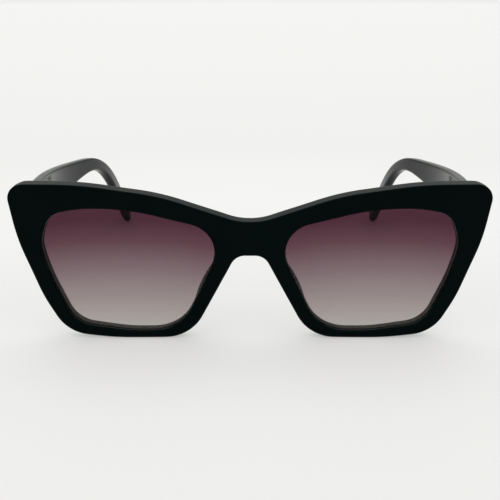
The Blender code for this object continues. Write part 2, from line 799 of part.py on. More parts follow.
def hang_on_hinge(word, side):
    """Everything that swings with a temple is a child of an empty on its hinge's axis."""
    axis = bpy.data.objects.new(f"hinge_axis_{word}", None)
    bpy.context.scene.collection.objects.link(axis)
    centre = on_front(hinge_on_sheet(side))
    axis.matrix_world = Matrix.Translation(centre) @ Matrix.Rotation(LEAN, 4, "X")
    for made in bpy.data.objects:
        if made.type == "MESH" and word in made.name and "temple" in made.name:
            made.parent = axis
            made.matrix_parent_inverse = axis.matrix_world.inverted()


def shade(made):
    made.data.shade_smooth()
    made.data.set_sharp_from_angle(angle=SHARP_ANGLE)


def main():
    clear_scene()
    frame_front()
    for word, side in SIDES:
        lens(f"lens_{word}", side)
        nose_pad(f"nose_pad_{word}", side)
        front_leaf(f"hinge_front_leaf_{word}", side)
        temple_leaf(f"hinge_temple_leaf_{word}", side)
        hinge_pin(f"hinge_pin_screw_{word}", side)
        leaf_screws(word, side)
        temple(f"temple_{word}", side)
        core_wire(f"temple_core_wire_{word}", side)
        hang_on_hinge(word, side)
    for made in bpy.data.objects:
        if made.type == "MESH":
            shade(made)


main()
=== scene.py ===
"""The looks of the cat-eye sunglasses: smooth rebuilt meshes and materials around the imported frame.

Metres, +Z up, the lenses face -Y. The front is drawn in a flat sheet (u across, w backwards, v up),
then bent about its vertical direction and leant forwards, with the same driving sizes as the design.
"""

import math

import bpy
import bmesh
from mathutils import Matrix, Vector
from mathutils.geometry import delaunay_2d_cdt


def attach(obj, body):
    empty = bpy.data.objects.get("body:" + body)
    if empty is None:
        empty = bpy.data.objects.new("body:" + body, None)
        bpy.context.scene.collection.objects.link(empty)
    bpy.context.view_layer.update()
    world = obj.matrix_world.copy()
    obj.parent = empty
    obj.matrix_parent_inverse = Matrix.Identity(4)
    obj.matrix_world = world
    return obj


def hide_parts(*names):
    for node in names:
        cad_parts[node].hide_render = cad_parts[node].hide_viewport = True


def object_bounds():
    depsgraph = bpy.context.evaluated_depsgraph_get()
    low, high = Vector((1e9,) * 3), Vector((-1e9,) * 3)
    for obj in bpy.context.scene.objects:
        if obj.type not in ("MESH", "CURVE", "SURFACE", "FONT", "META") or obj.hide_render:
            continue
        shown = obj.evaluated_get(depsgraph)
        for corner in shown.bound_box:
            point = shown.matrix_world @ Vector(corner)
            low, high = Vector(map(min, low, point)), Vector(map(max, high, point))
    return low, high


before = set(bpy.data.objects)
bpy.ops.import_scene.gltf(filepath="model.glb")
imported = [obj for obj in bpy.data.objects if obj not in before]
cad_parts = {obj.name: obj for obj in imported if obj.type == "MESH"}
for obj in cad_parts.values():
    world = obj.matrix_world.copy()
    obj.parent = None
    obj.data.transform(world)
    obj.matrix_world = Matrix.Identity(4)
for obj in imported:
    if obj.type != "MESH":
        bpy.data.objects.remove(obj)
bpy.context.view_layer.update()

MM = 0.001
SIDES = (("left", 1), ("right", -1))

# Sizes are in millimetres, unless a comment says otherwise.
# The sheet, how it is bent and how it stands.
FRONT_THICKNESS = 5.0
LEAN = math.radians(5.5)
EYE_CENTRE = 35.5
EYE_RADIUS = 265.0
BRIDGE_HALF = 10.0
END_PIECE_FROM = 57.5
FRONT_FACE_Y = -68.6
FRONT_FOOT_Z = -0.5 * math.sin(LEAN)
# The sheet thins by this share between these distances from the middle.
END_TAPER = 0.5
TAPER_FROM = 66.4
TAPER_TO = 69.8
OUTLINE_INSET = 0.02
EDGE_ROUND_FRONT = 0.8
EDGE_ROUND_BACK = 1.1
OPENING_ROUND_FRONT = 0.8
OPENING_ROUND_BACK = 0.8
ROUND_STEPS = 6
GROOVE_MIDDLE = 2.5
GROOVE_HALF = 0.93
GROOVE_FLOOR_HALF = 0.35
GROOVE_DEPTH = 1.0
# The openings' walls are less polished between these two of their levels, ahead of the lens.
SATIN_FROM = 5
SATIN_TO = 7

# Corners of the half outlines, (u, v, fillet radius), from the middle outwards.
OUTLINE_CORNERS = (
    (0.0, 36.2, 19.8),
    (26.9, 46.3, 66.0),
    (50.6, 49.7, 95.0),
    (72.55, 49.3, 4.7),
    (69.8, 31.9, 70.0),
    (63.2, 13.4, 45.0),
    (56.5, 1.4, 12.0),
    (41.5, 0.0, 90.0),
    (18.3, 0.0, 12.8),
    (4.3, 26.6, 4.6),
)
OPENING_CORNERS = (
    (6.8, 34.1, 9.8),
    (36.5, 42.3, 66.0),
    (50.5, 42.2, 40.0),
    (60.0, 40.1, 7.0),
    (63.1, 31.2, 12.0),
    (61.0, 21.4, 60.0),
    (53.7, 4.7, 9.5),
    (36.9, 2.4, 50.0),
    (21.3, 2.4, 13.2),
)
ARC_STEP = math.radians(4.0)
OUTLINE_SPACING = 1.6
LATTICE = 1.9
LATTICE_CLEAR = 0.55 * LATTICE  # a lattice point nearer than this to an outline is left out
TRIANGULATION_TOLERANCE = 1e-5
MERGE_WITHIN = 1e-7  # metres
SHARP_ANGLE = 38.0  # degrees between two faces, from which their edge is drawn sharp
LENS_SHARP_ANGLE = 20.0
PAD_SHARP_ANGLE = 60.0

# Lenses.
LENS_THICKNESS = 1.9
LENS_EDGE_HALF = 0.15
LENS_BEVEL = 0.75
LENS_FACE_INSET = 0.25
# The tint's bands curve downwards on both sides of this distance from the middle.
TINT_CENTRE = 38.0
TINT_BOW = 4.0

# Nose pads.
PAD_TOP = (8.3, 24.8)
PAD_BOTTOM = (17.3, 5.4)
PAD_HEIGHT = 4.8
PAD_WIDTH = 4.2
PAD_LEAN = 0.35
PAD_SUNK = 0.25
PAD_SECTIONS = 40
PAD_AROUND = 22
PAD_LEAST_SWELL = 0.04  # share of the full height left at both ends
PAD_END_SHARE = 0.03  # the swell's half wave is cut off by this share at both ends
PAD_SWELL_POWER = (0.5, 0.9)  # at the top and at the bottom: the less, the fuller
PAD_ROUND_POWER = 0.85
PAD_HALF_WIDTH = (0.25, 0.3)  # shares of the width: at an end, and what the full swell adds

# Hinges.
HINGE_U = 61.3
HINGE_V = 44.1
HINGE_BEHIND = 2.1
LEAF_POCKET_U = (-1.72, 4.42)
LEAF_POCKET_HEIGHT = 6.24
LEAF_POCKET_DEPTH = 1.12
TEMPLE_NOTCH_TO = 8.72
TEMPLE_NOTCH_HALF = 2.42
TEMPLE_NOTCH_DEPTH = 1.07
NOTCH_LEAST_ROOM = 0.05
NOTCH_DRAFT = 0.02

# Temples.
TEMPLE_SLOPE = math.radians(6.4)
TEMPLE_LENGTH = 153.0
TEMPLE_INNER_OFFSET = 2.2
TEMPLE_BUTT_GAP = 0.3
TEMPLE_TOP = 3.5
BUTT_HEIGHT = 12.0
WAIST_HEIGHT = 4.5
PADDLE_HEIGHT = 6.5
NARROWS_FROM = 30.0
WAIST_AT = 96.0
PADDLE_AT = 126.0
BUTT_THICKNESS = 3.6
TIP_THICKNESS = 3.4
DROP_FROM = 80.0
DROP_TO = 125.0
DROP_ANGLE = math.radians(34.0)
SPLAY = math.radians(5.3)
CURVE_FROM = 10.0
CURVE_TO = 79.0
CURVE_ANGLE = math.radians(15.8)
TIP_SPLAY = math.radians(6.3)
TIP_ROUND = 3.2
TIP_LEAST = 0.2
TEMPLE_EDGE = 0.9
TEMPLE_EDGE_BACK = 1.65
BUTT_CHAMFER = 0.25
# Where the sections stand.
FIRST_STATION = 2.0
NOTCH_LAST_BEFORE = 0.6  # the last but one inside the notch, ahead of its end
NOTCH_STEP = 0.03  # the first behind the notch's end, so that its rear wall is steep
EVEN_STATIONS_FROM = 10.0
TEMPLE_STEP = 2.0
TIP_SECTIONS = 8
CURVE_STEP = 0.5  # the centre line is followed in steps of this length
STATION_TOLERANCE = 1e-6

NOISE_MIDDLE = (0.3, 0.7)  # most of a noise texture's values lie between these

# Black acetate: (position, colour) stops of its tint, and how rough its polish is.
ACETATE_COLOUR = (0.0002, 0.0012, 0.0014)
ACETATE_STOPS = ((0.35, (0.0001, 0.0007, 0.0008)), (0.65, (0.0003, 0.0013, 0.0015)))
SHINE_TINT = (0.55, 1.0, 0.93)
POLISH = (0.07, 0.13)
FRONT_IOR = 1.13
TEMPLE_IOR = 1.145
SATIN_IOR = 1.26
SATIN_ROUGHER = 0.12

# The lens's tint by height, in metres from its foot to its head.
LENS_IOR = 1.16
LENS_COLOUR = (0.3, 0.25, 0.26)
TINT_FOOT = 0.002
TINT_HEAD = 0.042
TINT_STOPS = (
    (0.03, (0.53, 0.50, 0.48)),
    (0.24, (0.395, 0.336, 0.332)),
    (0.50, (0.243, 0.175, 0.197)),
    (0.75, (0.128, 0.058, 0.078)),
    (0.92, (0.075, 0.025, 0.040)),
)
LENS_SMUDGE = 0.035
GROUND_COLOUR = (0.17, 0.165, 0.155)
GROUND_STOPS = ((0.3, (0.14, 0.135, 0.127)), (0.7, (0.20, 0.195, 0.184)))

# Steel: its colours, and the stretch of the fine lines along each axis.
HINGE_COLOUR = (0.62, 0.61, 0.58)
HINGE_STRETCH = (1.0, 1.0, 8.0)
WIRE_COLOUR = (0.5, 0.5, 0.5)
WIRE_STRETCH = (8.0, 1.0, 8.0)
STEEL_ROUGHNESS = (0.22, 0.42)
STEEL_DARKER = 0.8

# The table and the studio, in metres and watts.
FLOOR_HALF = 12.0
FLOOR_CELLS = 24
FLOOR_BELOW = 0.00002
# The table's colour near the object and far from it: painted shade dims it with distance from the
# object.
FLOOR_NEAR = (0.532, 0.497, 0.513)
FLOOR_FAR_PAINTED_SHADE = (0.425, 0.398, 0.41)
FLOOR_PAINTED_DIM_FROM = 0.62  # share of FLOOR_PAINTED_DIM_AT
FLOOR_PAINTED_DIM_AT = 2.6
# Painted light: the table's glow by distance from the object, strongest close by to lift the shade
# around the glasses, fading to little far away.
FLOOR_PAINTED_GLOW = (
    (0.02, (0.38, 0.38, 0.372)),
    (0.04, (0.385, 0.385, 0.377)),
    (0.09, (0.335, 0.335, 0.327)),
    (FLOOR_PAINTED_DIM_FROM, (0.335, 0.335, 0.327)),
    (1.0, (0.05, 0.05, 0.049)),
)
DOME_STOPS = ((0.0, (0.405, 0.425, 0.408)), (0.3, (0.895, 0.955, 0.905)))
SOFTBOX_PLACE = (0.0, 1.5, 1.6)
SOFTBOX_AIM = (0.0, 0.9, 0.0)
SOFTBOX_SIZE = (3.0, 1.6)
SOFTBOX_WATTS = 6.6

# The camera: its distance ahead of the front and its height in millimetres, and its lens.
CAMERA_AWAY = 300.0
CAMERA_HEIGHT = 119.04
CAMERA_DOWN = math.radians(16.803)
CAMERA_LENS = 74.83
CAMERA_SENSOR = 36.0
CAMERA_CLIP = 0.01


# ---------------------------------------------------------------- outlines


def filleted(corners):
    """A closed clockwise outline as (point, outward normal) pairs, from corners with fillet radii."""
    points = [Vector((u, v)) for u, v, _ in corners]
    outline = []
    for i, (_, _, radius) in enumerate(corners):
        corner = points[i]
        before = (corner - points[i - 1]).normalized()
        after = (points[(i + 1) % len(points)] - corner).normalized()
        turn = before.angle_signed(after)
        start = corner - before * (radius * math.tan(abs(turn) / 2))
        side = Vector((before.y, -before.x)) * (1 if turn > 0 else -1)
        centre = start + side * radius
        first = start - centre
        length = abs(turn) * radius
        steps = max(2, math.ceil(abs(turn) / ARC_STEP), math.ceil(length / OUTLINE_SPACING))
        for k in range(steps + 1):
            arm = first.copy()
            arm.rotate(Matrix.Rotation(-turn * k / steps, 2))
            outward = arm.normalized() * (1 if turn > 0 else -1)
            outline.append((centre + arm, outward))
    return with_straights(outline)


def with_straights(outline):
    """Adds points along the straight stretches, so that they can follow the bend."""
    full = []
    for (start, normal), (end, _) in zip(outline, outline[1:] + outline[:1]):
        count = max(1, round((end - start).length / OUTLINE_SPACING))
        full += [(start.lerp(end, k / count), normal) for k in range(count)]
    return full


def front_outline():
    mirrored = [(-u, v, radius) for u, v, radius in reversed(OUTLINE_CORNERS) if u > 0]
    return filleted([*OUTLINE_CORNERS, *mirrored])


def opening_outline(side):
    corners = [(u * side, v, radius) for u, v, radius in OPENING_CORNERS]
    return filleted(corners if side > 0 else corners[::-1])


def rounded_edge(radius, depth, inward, front):
    """(offset, w) levels of a quarter round between a face at this w and the wall at offset 0."""
    levels = []
    for k in range(ROUND_STEPS + 1):
        angle = math.pi / 2 * k / ROUND_STEPS
        offset = inward * radius * (1 - math.sin(angle))
        rise = radius * (1 - math.cos(angle))
        levels.append((offset, depth + rise if front else depth - rise))
    return levels if front else levels[::-1]


# ---------------------------------------------------------------- the bend


def sag(u):
    """How far the sheet lies behind the front of the eyes at u, and its slope there."""
    out = abs(u)
    if out < BRIDGE_HALF:
        slope_at_edge = (BRIDGE_HALF - EYE_CENTRE) / EYE_RADIUS
        at_edge = (BRIDGE_HALF - EYE_CENTRE) ** 2 / (2 * EYE_RADIUS)
        depth = at_edge - slope_at_edge * (BRIDGE_HALF**2 - out**2) / (2 * BRIDGE_HALF)
        return depth, slope_at_edge * out / BRIDGE_HALF
    reach = min(out, END_PIECE_FROM) - EYE_CENTRE
    slope = reach / EYE_RADIUS
    return reach**2 / (2 * EYE_RADIUS) + slope * max(0.0, out - END_PIECE_FROM), slope


UP_THE_FRONT = Vector((0, -math.sin(LEAN), math.cos(LEAN)))
BACK_FROM_FRONT = Vector((0, math.cos(LEAN), math.sin(LEAN)))
FRONT_ORIGIN = Vector((0, FRONT_FACE_Y, FRONT_FOOT_Z))


def on_front(u, w, v):
    """The place in metres of a point of the flat sheet. The sheet thins towards its outer ends."""
    w *= 1 - END_TAPER * smooth(abs(u), TAPER_FROM, TAPER_TO)
    depth, slope = sag(u)
    tilt = math.atan(slope)
    across = u - math.copysign(w * math.sin(tilt), u)
    back = depth + w * math.cos(tilt)
    return (FRONT_ORIGIN + Vector((across, 0, 0)) + UP_THE_FRONT * v + BACK_FROM_FRONT * back) * MM


# ---------------------------------------------------------------- mesh helpers


def new_piece(name, bm, made_of, body, replaced, sharp=SHARP_ANGLE):
    """A piece from the mesh, smooth where its faces meet gently, that rides on its body."""
    bmesh.ops.remove_doubles(bm, verts=bm.verts[:], dist=MERGE_WITHIN)
    bmesh.ops.recalc_face_normals(bm, faces=bm.faces[:])
    mesh = bpy.data.meshes.new(name)
    bm.to_mesh(mesh)
    bm.free()
    mesh.shade_smooth()
    mesh.set_sharp_from_angle(angle=math.radians(sharp))
    mesh.materials.append(made_of)
    piece = bpy.data.objects.new(name, mesh)
    bpy.context.scene.collection.objects.link(piece)
    weighted = piece.modifiers.new("even_shading", "WEIGHTED_NORMAL")
    weighted.keep_sharp = True
    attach(piece, body)
    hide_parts(*replaced)
    return piece


def bridge(bm, rings):
    """Joins each closed ring of vertices to the next with quads."""
    for first, second in zip(rings, rings[1:]):
        for i in range(len(first)):
            j = (i + 1) % len(first)
            bm.faces.new((first[i], first[j], second[j], second[i]))


def inside(point, polygon):
    """True if the point lies in the polygon, by counting the edges to its right."""
    x, y = point
    crossings = 0
    for (ax, ay), (bx, by) in zip(polygon, polygon[1:] + polygon[:1]):
        if (ay > y) != (by > y) and x < ax + (y - ay) / (by - ay) * (bx - ax):
            crossings += 1
    return crossings % 2 == 1


def clear_of(point, loops, gap):
    """True if no loop has a point within the gap."""
    x, y = point
    return all((x - a) ** 2 + (y - b) ** 2 > gap * gap for loop in loops for a, b in loop)


def in_region(point, loops):
    """True if the point lies in the first loop and in none of the others, which are holes."""
    return inside(point, loops[0]) and not any(inside(point, hole) for hole in loops[1:])


def fill_face(bm, rings, flat_rings, place):
    """Fills the region between an outer ring and the holes with an even lattice of triangles."""
    loops = [[(p.x, p.y) for p in flat] for flat in flat_rings]
    verts = [vert for ring in rings for vert in ring]
    points = [Vector(p) for loop in loops for p in loop]
    edges, start = [], 0
    for loop in loops:
        count = len(loop)
        edges += [(start + i, start + (i + 1) % count) for i in range(count)]
        start += count
    low_u, high_u = min(p.x for p in points), max(p.x for p in points)
    low_v, high_v = min(p.y for p in points), max(p.y for p in points)
    columns = int((high_u - low_u) / 2 / LATTICE)
    rows = int((high_v - low_v) / LATTICE) + 1
    middle = (low_u + high_u) / 2
    for column in range(-columns, columns + 1):
        for row in range(rows):
            spot = (middle + column * LATTICE, low_v + (row + 0.5) * LATTICE)
            if in_region(spot, loops) and clear_of(spot, loops, LATTICE_CLEAR):
                points.append(Vector(spot))
                verts.append(bm.verts.new(place(*spot)))
    made = delaunay_2d_cdt(points, edges, [], 0, TRIANGULATION_TOLERANCE)
    triangles, sources = made[2], made[3]
    for triangle in triangles:
        corners = [sources[i][0] for i in triangle]
        centre = sum((points[i] for i in corners), Vector((0, 0))) / 3
        if in_region(centre, loops):
            bm.faces.new([verts[i] for i in corners])


def sheet_ring(bm, outline, offset, depth):
    """The outline moved outwards by the offset, at this w: its vertices and its flat points."""
    flat = [point + normal * offset for point, normal in outline]
    return [bm.verts.new(on_front(p.x, depth, p.y)) for p in flat], flat


def sheet_wall(bm, outline, levels):
    """The wall through (offset, w) levels. Returns its first and last ring with their flat points."""
    rings = [sheet_ring(bm, outline, offset, depth) for offset, depth in levels]
    bridge(bm, [ring for ring, _ in rings])
    return rings[0], rings[-1]


# ---------------------------------------------------------------- materials


def shader_of(name, colour, roughness, metallic=0.0, ior=1.45):
    """A new material, its node tree and its Principled shader."""
    made = bpy.data.materials.new(name)
    made.use_nodes = True
    shader = made.node_tree.nodes["Principled BSDF"]
    shader.inputs["Base Color"].default_value = (*colour, 1.0)
    shader.inputs["Roughness"].default_value = roughness
    shader.inputs["Metallic"].default_value = metallic
    shader.inputs["IOR"].default_value = ior
    return made, made.node_tree, shader


def noise(tree, scale, detail=3.0, stretch=(1.0, 1.0, 1.0), roughness=0.5):
    """Object-space noise. The stretch scales the coordinates along each axis."""
    place = tree.nodes.new("ShaderNodeTexCoord")
    mapping = tree.nodes.new("ShaderNodeMapping")
    mapping.inputs["Scale"].default_value = stretch
    made = tree.nodes.new("ShaderNodeTexNoise")
    made.inputs["Scale"].default_value = scale
    made.inputs["Detail"].default_value = detail
    made.inputs["Roughness"].default_value = roughness
    tree.links.new(place.outputs["Object"], mapping.inputs["Vector"])
    tree.links.new(mapping.outputs["Vector"], made.inputs["Vector"])
    return made.outputs["Fac"]


def ramp(tree, source, stops):
    """A colour ramp through (position, colour) stops."""
    made = tree.nodes.new("ShaderNodeValToRGB")
    elements = made.color_ramp.elements
    while len(elements) < len(stops):
        elements.new(0.5)
    for element, (position, colour) in zip(elements, stops):
        element.position = position
        element.color = (*colour, 1.0)
    tree.links.new(source, made.inputs["Fac"])
    return made.outputs["Color"]


def map_range(tree, source, start, end, low=0.0, high=1.0):
    """The source's range from start to end mapped to low and high, and held there beyond it."""
    made = tree.nodes.new("ShaderNodeMapRange")
    made.inputs["From Min"].default_value = start
    made.inputs["From Max"].default_value = end
    made.inputs["To Min"].default_value = low
    made.inputs["To Max"].default_value = high
    tree.links.new(source, made.inputs["Value"])
    return made.outputs["Result"]


def spread(tree, source, low, high):
    """The noise's middle range mapped to low and high."""
    return map_range(tree, source, *NOISE_MIDDLE, low, high)


def bump(tree, shader, source, strength, distance):
    made = tree.nodes.new("ShaderNodeBump")
    made.inputs["Strength"].default_value = strength
    made.inputs["Distance"].default_value = distance
    tree.links.new(source, made.inputs["Height"])
    tree.links.new(made.outputs["Normal"], shader.inputs["Normal"])


def maths(tree, operation, source, number=0.0, added=None):
    """An arithmetic node: a linked source, a number and, if given, a linked third input."""
    made = tree.nodes.new("ShaderNodeMath")
    made.operation = operation
    tree.links.new(source, made.inputs[0])
    made.inputs[1].default_value = number
    if added:
        tree.links.new(added, made.inputs[2])
    return made.outputs["Value"]


def acetate(name, ior, rougher=0.0):
    """Black acetate: a faint unevenness in its polish and its surface, and a cool black."""
    made, tree, shader = shader_of(name, ACETATE_COLOUR, 0.09, ior=ior)
    shader.inputs["Specular Tint"].default_value = (*SHINE_TINT, 1.0)
    tint = ramp(tree, noise(tree, 35.0), ACETATE_STOPS)
    tree.links.new(tint, shader.inputs["Base Color"])
    smoothest, roughest = POLISH
    polish = spread(tree, noise(tree, 160.0, 4.0), smoothest + rougher, roughest + rougher)
    tree.links.new(polish, shader.inputs["Roughness"])
    bump(tree, shader, noise(tree, 260.0, 2.0), 0.06, 0.0001)
    return made


def tint_height(tree):
    """The height on the lens, raised by a parabola so that the tint's bands bow, from 0 to 1."""
    place = tree.nodes.new("ShaderNodeTexCoord")
    apart = tree.nodes.new("ShaderNodeSeparateXYZ")
    tree.links.new(place.outputs["Object"], apart.inputs["Vector"])
    across = maths(tree, "ABSOLUTE", apart.outputs["X"])
    off_centre = maths(tree, "SUBTRACT", across, TINT_CENTRE * MM)
    squared = maths(tree, "POWER", off_centre, 2.0)
    bowed = maths(tree, "MULTIPLY_ADD", squared, TINT_BOW, apart.outputs["Z"])
    return map_range(tree, bowed, TINT_FOOT, TINT_HEAD)


def lens_tint():
    """Tinted lens that lets light through: plum at the top, fading to a pinkish grey at the bottom."""
    made, tree, shader = shader_of("gradient_lens", LENS_COLOUR, 0.0, ior=LENS_IOR)
    shader.inputs["Transmission Weight"].default_value = 1.0
    colour = ramp(tree, tint_height(tree), TINT_STOPS)
    tree.links.new(colour, shader.inputs["Base Color"])
    smudge = spread(tree, noise(tree, 45.0, 4.0), 0.0, LENS_SMUDGE)
    tree.links.new(smudge, shader.inputs["Roughness"])
    clear = tree.nodes.new("ShaderNodeBsdfTransparent")
    tree.links.new(colour, clear.inputs["Color"])
    path = tree.nodes.new("ShaderNodeLightPath")
    mix = tree.nodes.new("ShaderNodeMixShader")
    tree.links.new(path.outputs["Is Shadow Ray"], mix.inputs["Fac"])
    tree.links.new(shader.outputs["BSDF"], mix.inputs[1])
    tree.links.new(clear.outputs["BSDF"], mix.inputs[2])
    tree.links.new(mix.outputs["Shader"], tree.nodes["Material Output"].inputs["Surface"])
    return made


def ground_edge():
    """The lens's bevel: ground glass, which is dull and pale."""
    made, tree, shader = shader_of("ground_lens_edge", GROUND_COLOUR, 0.5)
    grain = noise(tree, 1500.0)
    tree.links.new(ramp(tree, grain, GROUND_STOPS), shader.inputs["Base Color"])
    bump(tree, shader, grain, 0.2, 0.00002)
    return made


def steel(name, colour, stretch):
    """Satin steel with fine lines across its length."""
    made, tree, shader = shader_of(name, colour, 0.3, metallic=1.0)
    lines = noise(tree, 900.0, stretch=stretch)
    tree.links.new(spread(tree, lines, *STEEL_ROUGHNESS), shader.inputs["Roughness"])
    darker = tuple(STEEL_DARKER * channel for channel in colour)
    shade = ramp(tree, noise(tree, 700.0), tuple(zip(NOISE_MIDDLE, (darker, colour))))
    tree.links.new(shade, shader.inputs["Base Color"])
    bump(tree, shader, lines, 0.15, 0.00003)
    return made


def floor_with_painted_light():
    """A pale matt table that glows with painted light, most near the object, where the glow lifts the
    shade around the glasses. Its colour and glow grow dimmer far away from the object as painted shade.
    """
    made, tree, shader = shader_of("pale_floor_painted_light", FLOOR_NEAR, 0.7)
    shader.inputs["Emission Strength"].default_value = 1.0
    place = tree.nodes.new("ShaderNodeTexCoord")
    reach = tree.nodes.new("ShaderNodeVectorMath")
    reach.operation = "LENGTH"
    tree.links.new(place.outputs["Object"], reach.inputs[0])
    share = maths(tree, "MULTIPLY", reach.outputs["Value"], 1 / FLOOR_PAINTED_DIM_AT)
    # Painted light: the glow lifts the shade, most near the object.
    tree.links.new(ramp(tree, share, FLOOR_PAINTED_GLOW), shader.inputs["Emission Color"])
    # Painted shade: the table's colour grows dimmer far away from the object.
    paint = ramp(tree, share, ((FLOOR_PAINTED_DIM_FROM, FLOOR_NEAR), (1.0, FLOOR_FAR_PAINTED_SHADE)))
    tree.links.new(paint, shader.inputs["Base Color"])
    return made


# ---------------------------------------------------------------- front, lenses and pads


def outer_levels():
    """(offset, w) levels of the front's outer wall, from the face to the back."""
    front = rounded_edge(EDGE_ROUND_FRONT, 0.0, -1, True)
    back = rounded_edge(EDGE_ROUND_BACK, FRONT_THICKNESS, -1, False)
    return [(offset - OUTLINE_INSET, depth) for offset, depth in front + back]


def opening_levels():
    """(offset, w) levels of an opening's wall, with the groove that holds the lens."""
    groove = (
        (0.0, GROOVE_MIDDLE - GROOVE_HALF),
        (GROOVE_DEPTH, GROOVE_MIDDLE - GROOVE_FLOOR_HALF),
        (GROOVE_DEPTH, GROOVE_MIDDLE + GROOVE_FLOOR_HALF),
        (0.0, GROOVE_MIDDLE + GROOVE_HALF),
    )
    front = rounded_edge(OPENING_ROUND_FRONT, 0.0, 1, True)
    back = rounded_edge(OPENING_ROUND_BACK, FRONT_THICKNESS, 1, False)
    return front + list(groove) + back


def pocket_outline(side):
    """The hinge leaf's pocket in the back of the front, with sharp corners."""
    first, last = ((HINGE_U + reach) * side for reach in LEAF_POCKET_U)
    low, high = HINGE_V - LEAF_POCKET_HEIGHT / 2, HINGE_V + LEAF_POCKET_HEIGHT / 2
    corners = [Vector(c) for c in ((first, low), (first, high), (last, high), (last, low))]
    return [(corner, Vector((0, 0))) for corner in corners]


def build_front(made_of, wall_made_of):
    """The front in one piece, with the openings, their grooves and the hinge pockets."""
    bm = bmesh.new()
    outer_front, outer_back = sheet_wall(bm, front_outline(), outer_levels())
    fronts, backs = [outer_front], [outer_back]
    for _, side in SIDES:
        before = len(bm.faces)
        first, last = sheet_wall(bm, opening_outline(side), opening_levels())
        bm.faces.ensure_lookup_table()
        around = len(first[0])
        satin = slice(before + SATIN_FROM * around, before + SATIN_TO * around)
        for face in bm.faces[satin]:
            face.material_index = 1
        fronts.append(first)
        backs.append(last)
    for _, side in SIDES:
        levels = ((0.0, FRONT_THICKNESS), (0.0, FRONT_THICKNESS - LEAF_POCKET_DEPTH))
        mouth, floor = sheet_wall(bm, pocket_outline(side), levels)
        bm.faces.new(floor[0])
        backs.append(mouth)
    for rings, depth in ((fronts, 0.0), (backs, FRONT_THICKNESS)):
        fill_face(
            bm,
            [ring for ring, _ in rings],
            [flat for _, flat in rings],
            lambda u, v, depth=depth: on_front(u, depth, v),
        )
    piece = new_piece("front_polished", bm, made_of, "front", ["frame_front"])
    piece.data.materials.append(wall_made_of)
    return piece


def build_lens(word, side, made_of, edge_made_of):
    """A lens that follows the bent sheet, bevelled into the opening's groove."""
    middle, half = GROOVE_MIDDLE, LENS_THICKNESS / 2
    levels = (
        (-LENS_FACE_INSET, middle - half),
        (LENS_BEVEL, middle - LENS_EDGE_HALF),
        (LENS_BEVEL, middle + LENS_EDGE_HALF),
        (-LENS_FACE_INSET, middle + half),
    )
    bm = bmesh.new()
    ends = sheet_wall(bm, opening_outline(side), levels)
    for face in bm.faces:
        face.material_index = 1
    for (ring, flat), depth in zip(ends, (middle - half, middle + half)):
        fill_face(bm, [ring], [flat], lambda u, v, depth=depth: on_front(u, depth, v))
    name, replaced = f"lens_pane_{word}", [f"lens_{word}"]
    piece = new_piece(name, bm, made_of, "front", replaced, LENS_SHARP_ANGLE)
    piece.data.materials.append(edge_made_of)
    return piece


def build_pad(word, side, made_of):
    """A smooth ridge that leans away from the nose and runs out into the rim at both ends."""
    bm = bmesh.new()
    top, bottom = Vector(PAD_TOP), Vector(PAD_BOTTOM)
    along = (bottom - top).normalized()
    outward = Vector((-along.y, along.x))
    if outward.x < 0:
        outward = -outward
    rings = []
    for k in range(PAD_SECTIONS + 1):
        share = k / PAD_SECTIONS
        wave = math.sin(math.pi * (PAD_END_SHARE + (1 - 2 * PAD_END_SHARE) * share))
        power = PAD_SWELL_POWER[0] + (PAD_SWELL_POWER[1] - PAD_SWELL_POWER[0]) * share
        swell = max(PAD_LEAST_SWELL, wave**power)
        half_width = PAD_WIDTH * (PAD_HALF_WIDTH[0] + PAD_HALF_WIDTH[1] * swell)
        centre = top.lerp(bottom, share)
        ring = []
        for i in range(PAD_AROUND + 1):
            angle = math.pi * i / PAD_AROUND
            rise = PAD_HEIGHT * swell * math.sin(angle) ** PAD_ROUND_POWER
            spot = centre + outward * (-math.cos(angle) * half_width + PAD_LEAN * rise)
            depth = FRONT_THICKNESS - PAD_SUNK + rise
            ring.append(bm.verts.new(on_front(spot.x * side, depth, spot.y)))
        rings.append(ring)
    bridge(bm, rings)
    bm.faces.new(rings[0])
    bm.faces.new(rings[-1])
    name, replaced = f"nose_pad_smooth_{word}", [f"nose_pad_{word}"]
    return new_piece(name, bm, made_of, "front", replaced, PAD_SHARP_ANGLE)


# ---------------------------------------------------------------- temples


def share_of_way(value, low, high):
    """How far the value lies on the way from low to high, from 0 to 1."""
    return min(1.0, max(0.0, (value - low) / (high - low)))


def smooth(value, low, high):
    """The same, with a gentle start and end."""
    share = share_of_way(value, low, high)
    return share * share * (3 - 2 * share)


def temple_height(at):
    taper = BUTT_HEIGHT + (WAIST_HEIGHT - BUTT_HEIGHT) * smooth(at, NARROWS_FROM, WAIST_AT)
    return taper + (PADDLE_HEIGHT - WAIST_HEIGHT) * smooth(at, WAIST_AT, PADDLE_AT)


def temple_thickness(at):
    share = share_of_way(at, 0.0, TEMPLE_LENGTH)
    return BUTT_THICKNESS + (TIP_THICKNESS - BUTT_THICKNESS) * share


def temple_datum(stations):
    """(across, back, up, downward angle) of the top edge at each station, from the hinge axis."""
    across = TEMPLE_INNER_OFFSET + BUTT_THICKNESS / 2
    at = stations[0]
    back, up = -HINGE_BEHIND + at, TEMPLE_TOP
    made = []
    for station in stations:
        while at < station - STATION_TOLERANCE:
            step = min(CURVE_STEP, station - at)
            middle = at + step / 2
            down = DROP_ANGLE * share_of_way(middle, DROP_FROM, DROP_TO)
            inward = CURVE_ANGLE * smooth(middle, CURVE_FROM, CURVE_TO)
            inward -= TIP_SPLAY * smooth(middle, DROP_FROM, DROP_TO)
            across -= step * math.sin(inward)
            back += step * math.cos(inward) * math.cos(down)
            up -= step * math.sin(down)
            at += step
        made.append((across, back, up, DROP_ANGLE * share_of_way(station, DROP_FROM, DROP_TO)))
    return made


